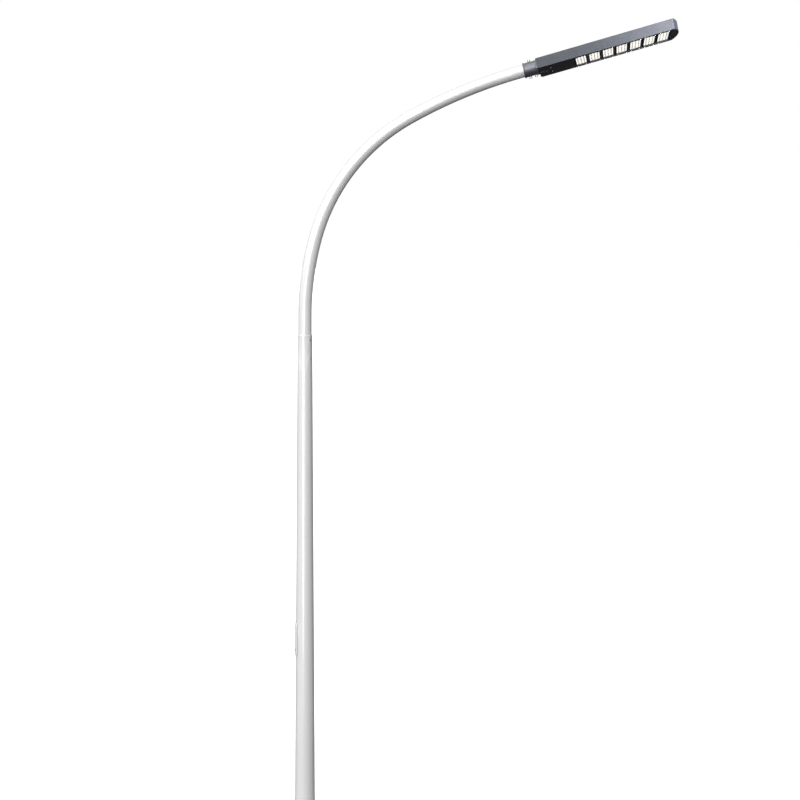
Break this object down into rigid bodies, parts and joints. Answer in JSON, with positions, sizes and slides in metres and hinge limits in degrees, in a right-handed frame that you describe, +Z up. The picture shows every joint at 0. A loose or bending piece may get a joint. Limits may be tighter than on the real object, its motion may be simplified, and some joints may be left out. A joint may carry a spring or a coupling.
{
  "type": "street lamp post",
  "caption": "Tapered steel lamp post on a bolted base plate, with a service door, a swept arm and a flat LED street luminaire with a row of light modules.",
  "frame": {"origin": "centre of the base plate's underside, on the shaft's axis, level with the foundation", "axes": "+Z up along the shaft, +X the way the arm reaches out, the service door faces -X, Y across the luminaire"},
  "size_m": [1.9761, 0.3, 4.438],
  "materials": {
    "post_paint": "gloss",
    "luminaire_paint": "satin",
    "dark_casting": "satin",
    "stainless_steel": "satin",
    "zinc_plate": "satin",
    "brass": "satin",
    "black_rubber": "matt",
    "led_board": "gloss",
    "clear_lens": "clear",
    "gear_board": "matt",
    "grey_plastic": "satin",
    "black_plastic": "satin",
    "driver_case": "satin",
    "surge_case": "satin",
    "terminal_plastic": "satin"
  },
  "bodies": {
    "root": {"base_plate": "post_paint", "base_gussets": "post_paint", "pole_shaft": "post_paint", "door_frame": "post_paint", "arm_seat_ring": "post_paint", "arm_tube": "post_paint", "hinge_leaf_fixed": "post_paint", "spigot_collar": "luminaire_paint", "side_rail_front": "luminaire_paint", "side_rail_rear": "luminaire_paint", "nose_cap": "luminaire_paint", "driver_housing": "dark_casting", "heat_sink_1": "dark_casting", "heat_sink_2": "dark_casting", "heat_sink_3": "dark_casting", "heat_sink_4": "dark_casting", "heat_sink_5": "dark_casting", "heat_sink_6": "dark_casting", "heat_sink_7": "dark_casting", "arm_grub_screws": "stainless_steel", "hinge_pins": "stainless_steel", "gear_board_bolts": "stainless_steel", "collar_screws": "stainless_steel", "lid_hinge_pins": "stainless_steel", "luminaire_screws": "stainless_steel", "din_rail": "zinc_plate", "earth_stud": "brass", "earth_nuts": "brass", "riser_cable": "black_rubber", "led_board_1": "led_board", "led_board_2": "led_board", "led_board_3": "led_board", "led_board_4": "led_board", "led_board_5": "led_board", "led_board_6": "led_board", "led_board_7": "led_board", "lens_1": "clear_lens", "lens_2": "clear_lens", "lens_3": "clear_lens", "lens_4": "clear_lens", "lens_5": "clear_lens", "lens_6": "clear_lens", "lens_7": "clear_lens", "gear_board": "gear_board", "breaker_body": "grey_plastic", "pole_terminals": "grey_plastic", "cable_gland": "black_plastic", "led_driver": "driver_case", "surge_protector": "surge_case", "luminaire_terminals": "terminal_plastic"},
    "door": {"door_panel": "post_paint", "door_gasket": "black_rubber", "hinge_leaf_moving": "post_paint", "lock_barrel": "stainless_steel"},
    "door_lock": {"lock_spindle": "stainless_steel", "lock_cam": "stainless_steel"},
    "lid": {"driver_lid": "dark_casting", "lid_gasket": "black_rubber", "lid_screws": "stainless_steel"},
    "toggle": {"breaker_toggle": "black_plastic"}
  },
  "joints": [
    {"name": "door_hinge", "type": "hinge", "parent": "root", "child": "door", "pos_m": [-0.02772, 0.05, 1.162], "axis": [0, 0, -1], "range_deg": [0, 110]},
    {"name": "lock_turn", "type": "hinge", "parent": "door", "child": "door_lock", "pos_m": [-0.0515, 0, 1.087], "axis": [1, 0, 0], "range_deg": [0, 90]},
    {"name": "lid_hinge", "type": "hinge", "parent": "root", "child": "lid", "pos_m": [1.35282, 0, 4.26407], "axis": [0, -1, 0], "range_deg": [0, 85]},
    {"name": "breaker_switch", "type": "hinge", "parent": "root", "child": "toggle", "pos_m": [-0.0318, -0.016, 1.184], "axis": [0, -1, 0], "range_deg": [0, 70]}
  ]
}
